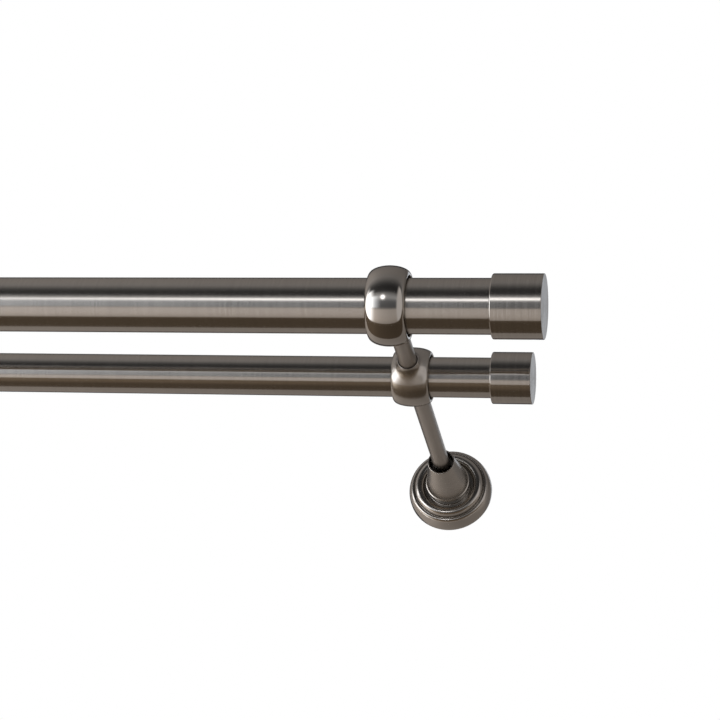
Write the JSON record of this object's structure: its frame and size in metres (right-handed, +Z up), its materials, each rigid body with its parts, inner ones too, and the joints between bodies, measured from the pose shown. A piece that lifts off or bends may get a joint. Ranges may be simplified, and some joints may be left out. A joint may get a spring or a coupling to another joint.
{
  "type": "double curtain rod with brackets",
  "caption": "Double curtain rod in satin nickel: a thick front tube and a thinner rear tube with plain cylindrical end caps, in closed rings on straight arms with stepped round wall covers.",
  "frame": {"origin": "centre of the right wall plate's back face, on the wall", "axes": "+X along the tubes to the right end as seen from the room, +Y into the wall, +Z up"},
  "size_m": [0.7974, 0.2406, 0.0436],
  "materials": {
    "satin_nickel": "satin nickel plate, brushed round the tubes and caps",
    "polished_nickel": "polished nickel plate, lightly satined",
    "zinc_steel": "bright zinc plated",
    "black_steel": "black oxide",
    "black_nylon": "black nylon",
    "clear_nylon": "natural nylon"
  },
  "bodies": {
    "brackets": {"wall_plate_right": "zinc_steel", "wall_screw_outer_right": "zinc_steel", "wall_screw_inner_right": "zinc_steel", "rear_arm_right": "satin_nickel", "front_arm_right": "satin_nickel", "rear_ring_right": "polished_nickel", "rear_ring_liner_right": "black_nylon", "front_ring_right": "polished_nickel", "front_ring_liner_right": "black_nylon", "wall_plate_left": "zinc_steel", "wall_screw_outer_left": "zinc_steel", "wall_screw_inner_left": "zinc_steel", "rear_arm_left": "satin_nickel", "front_arm_left": "satin_nickel", "rear_ring_left": "polished_nickel", "rear_ring_liner_left": "black_nylon", "front_ring_left": "polished_nickel", "front_ring_liner_left": "black_nylon"},
    "cover_right": {"wall_cover_right": "polished_nickel", "cover_cone_right": "satin_nickel", "cover_bush_right": "clear_nylon"},
    "cover_left": {"wall_cover_left": "polished_nickel", "cover_cone_left": "satin_nickel", "cover_bush_left": "clear_nylon"},
    "front_rod": {"front_tube": "satin_nickel"},
    "front_end_right": {"front_cap_right": "satin_nickel", "front_cap_plug_right": "clear_nylon", "front_cap_screw_right": "zinc_steel"},
    "front_lock_right": {"front_set_screw_right": "black_steel"},
    "front_end_left": {"front_cap_left": "satin_nickel", "front_cap_plug_left": "clear_nylon", "front_cap_screw_left": "zinc_steel"},
    "front_lock_left": {"front_set_screw_left": "black_steel"},
    "rear_rod": {"rear_tube": "satin_nickel"},
    "rear_end_right": {"rear_cap_right": "satin_nickel", "rear_cap_plug_right": "clear_nylon", "rear_cap_screw_right": "zinc_steel"},
    "rear_lock_right": {"rear_set_screw_right": "black_steel"},
    "rear_end_left": {"rear_cap_left": "satin_nickel", "rear_cap_plug_left": "clear_nylon", "rear_cap_screw_left": "zinc_steel"},
    "rear_lock_left": {"rear_set_screw_left": "black_steel"}
  },
  "joints": [
    {"name": "front_rod_slide", "type": "slide", "parent": "brackets", "child": "front_rod", "axis": [1, 0, 0], "range_m": [-0.035, 0.035]},
    {"name": "rear_rod_slide", "type": "slide", "parent": "brackets", "child": "rear_rod", "axis": [1, 0, 0], "range_m": [-0.027, 0.027]},
    {"name": "front_cap_pull_right", "type": "slide", "parent": "front_rod", "child": "front_end_right", "axis": [1, 0, 0], "range_m": [0, 0.022]},
    {"name": "front_cap_pull_left", "type": "slide", "parent": "front_rod", "child": "front_end_left", "axis": [-1, 0, 0], "range_m": [0, 0.022]},
    {"name": "rear_cap_pull_right", "type": "slide", "parent": "rear_rod", "child": "rear_end_right", "axis": [1, 0, 0], "range_m": [0, 0.019]},
    {"name": "rear_cap_pull_left", "type": "slide", "parent": "rear_rod", "child": "rear_end_left", "axis": [-1, 0, 0], "range_m": [0, 0.019]},
    {"name": "cover_slide_right", "type": "slide", "parent": "brackets", "child": "cover_right", "axis": [0, -1, 0], "range_m": [0, 0.07]},
    {"name": "cover_slide_left", "type": "slide", "parent": "brackets", "child": "cover_left", "axis": [0, -1, 0], "range_m": [0, 0.07]},
    {"name": "front_lock_turn_right", "type": "hinge", "parent": "brackets", "child": "front_lock_right", "pos_m": [0, -0.2, 0], "axis": [0, 0, 1], "range_deg": [0, 720]},
    {"name": "front_lock_turn_left", "type": "hinge", "parent": "brackets", "child": "front_lock_left", "pos_m": [-0.66, -0.2, 0], "axis": [0, 0, 1], "range_deg": [0, 720]},
    {"name": "rear_lock_turn_right", "type": "hinge", "parent": "brackets", "child": "rear_lock_right", "pos_m": [0, -0.132, 0], "axis": [0, 0, 1], "range_deg": [0, 720]},
    {"name": "rear_lock_turn_left", "type": "hinge", "parent": "brackets", "child": "rear_lock_left", "pos_m": [-0.66, -0.132, 0], "axis": [0, 0, 1], "range_deg": [0, 720]}
  ]
}
